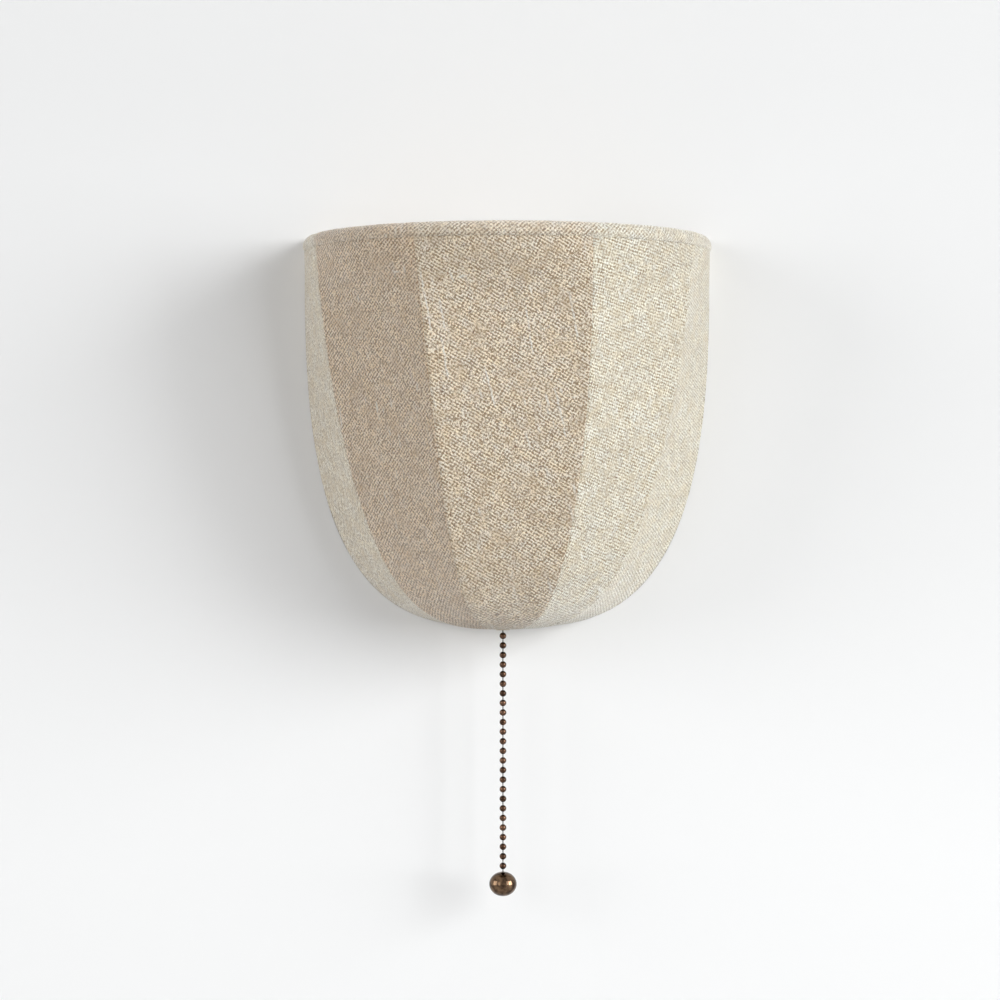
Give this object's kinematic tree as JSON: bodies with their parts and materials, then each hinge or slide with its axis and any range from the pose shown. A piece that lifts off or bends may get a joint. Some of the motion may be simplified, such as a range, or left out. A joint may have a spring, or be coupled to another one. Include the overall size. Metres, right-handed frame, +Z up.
{
  "type": "fabric shade wall light",
  "caption": "Half-bowl linen shade on a wire frame, flat against the wall and open at the top, with a pull chain and ball knob below.",
  "frame": {"origin": "centre of the mounting strap, on the wall plane", "axes": "+Z up, +Y into the wall, +X to the right for someone facing the wall"},
  "size_m": [0.254, 0.127, 0.406],
  "materials": {
    "linen": "natural linen weave with slubs, matt",
    "linen_binding": "the same linen, folded over the rim wire",
    "frame_wire": "white powder coat on steel wire",
    "bar_steel": "white powder coat on flat steel",
    "zinc_steel": "bright zinc plate",
    "spring_steel": "bare spring steel",
    "ground_green_screw": "green dye over zinc plate",
    "canopy_paint": "white powder coat, fine texture",
    "brass_plate": "plated brass, satin",
    "chain_bronze": "dark oil-rubbed bronze, worn bright on top of each bead",
    "knob_copper": "polished copper bronze",
    "phenolic": "moulded black phenolic",
    "ceramic_white": "unglazed white porcelain",
    "switch_nylon": "natural nylon",
    "grommet_rubber": "black rubber",
    "block_plastic": "natural polyamide",
    "bulb_cap_metal": "rolled screw cap",
    "bulb_contact_black": "black glass insulator with a tin contact",
    "bulb_frosted": "white frosted inside",
    "bulb_stem_glass": "clear glass stem",
    "lead_black": "PVC insulation",
    "lead_red": "PVC insulation",
    "lead_white": "PVC insulation",
    "lead_green": "PVC insulation"
  },
  "bodies": {
    "fixture": {"rim_ring": "frame_wire", "wall_edge_wire": "frame_wire", "top_back_wire": "frame_wire", "hub_strut": "frame_wire", "hub_ring": "frame_wire", "inner_ribs": "frame_wire", "outer_ribs": "frame_wire", "shade_bar": "bar_steel", "rim_binding": "linen_binding", "eyelet": "brass_plate", "mounting_strap": "zinc_steel", "ground_screw": "ground_green_screw", "canopy": "canopy_paint", "canopy_grommet": "grommet_rubber", "fixture_studs": "zinc_steel", "cap_nuts": "brass_plate", "lamp_bracket": "zinc_steel", "switch_bracket": "zinc_steel", "bracket_screws": "zinc_steel", "bracket_nuts": "zinc_steel", "terminal_block": "block_plastic", "terminal_screws": "zinc_steel", "switch_base": "phenolic", "switch_cover": "phenolic", "switch_bushing": "brass_plate", "switch_nut": "brass_plate", "switch_axle": "zinc_steel", "switch_contacts": "brass_plate", "return_spring": "spring_steel", "far_left_gore": "linen", "left_gore": "linen", "front_gore": "linen", "right_gore": "linen", "far_right_gore": "linen", "lampholder_nipple": "zinc_steel", "lampholder_nut": "zinc_steel", "lampholder_cap": "phenolic", "lampholder_shell": "phenolic", "lampholder_insulator": "ceramic_white", "screw_shell": "brass_plate", "centre_contact": "brass_plate", "live_lead": "lead_black", "neutral_lead": "lead_white", "switched_lead": "lead_red", "ground_lead": "lead_green"},
    "pull_chain": {"upper_chain": "chain_bronze"},
    "chain_swivel": {"swivel_bead": "chain_bronze"},
    "hanging_chain": {"lower_chain": "chain_bronze", "pull_knob": "knob_copper"},
    "switch_drum": {"pull_drum": "switch_nylon"},
    "switch_rotor": {"contact_rotor": "switch_nylon"},
    "bulb": {"bulb_cap": "bulb_cap_metal", "bulb_contact": "bulb_contact_black", "bulb_glass": "bulb_frosted", "bulb_stem": "bulb_stem_glass"}
  },
  "joints": [
    {"name": "chain_pull", "type": "slide", "parent": "fixture", "child": "pull_chain", "axis": [0, 0, -1], "range_m": [0, 0.01], "stiffness_N_per_m": 400, "springref_m": -0.004},
    {"name": "drum_turn", "type": "hinge", "parent": "fixture", "child": "switch_drum", "pos_m": [0.0038, -0.028, -0.07579], "axis": [0, -1, 0], "range_deg": [0, 90]},
    {"name": "rotor_turn", "type": "hinge", "parent": "fixture", "child": "switch_rotor", "pos_m": [0.0038, -0.028, -0.07579], "axis": [0, -1, 0], "range_deg": [0, 90]},
    {"name": "chain_side_swing", "type": "hinge", "parent": "pull_chain", "child": "chain_swivel", "pos_m": [-0.0026, -0.028, -0.14635], "axis": [0, 1, 0], "range_deg": [-40, 40]},
    {"name": "chain_fore_swing", "type": "hinge", "parent": "chain_swivel", "child": "hanging_chain", "pos_m": [-0.0026, -0.028, -0.15223], "axis": [1, 0, 0], "range_deg": [-40, 6]},
    {"name": "bulb_removal", "type": "slide", "parent": "fixture", "child": "bulb", "axis": [0, 0, 1], "range_m": [0, 0.03]}
  ],
  "couplings": [
    {"joint": "drum_turn", "follows": "chain_pull", "rad_per_m": 156.25},
    {"joint": "rotor_turn", "follows": "chain_pull", "rad_per_m": 156.25}
  ]
}
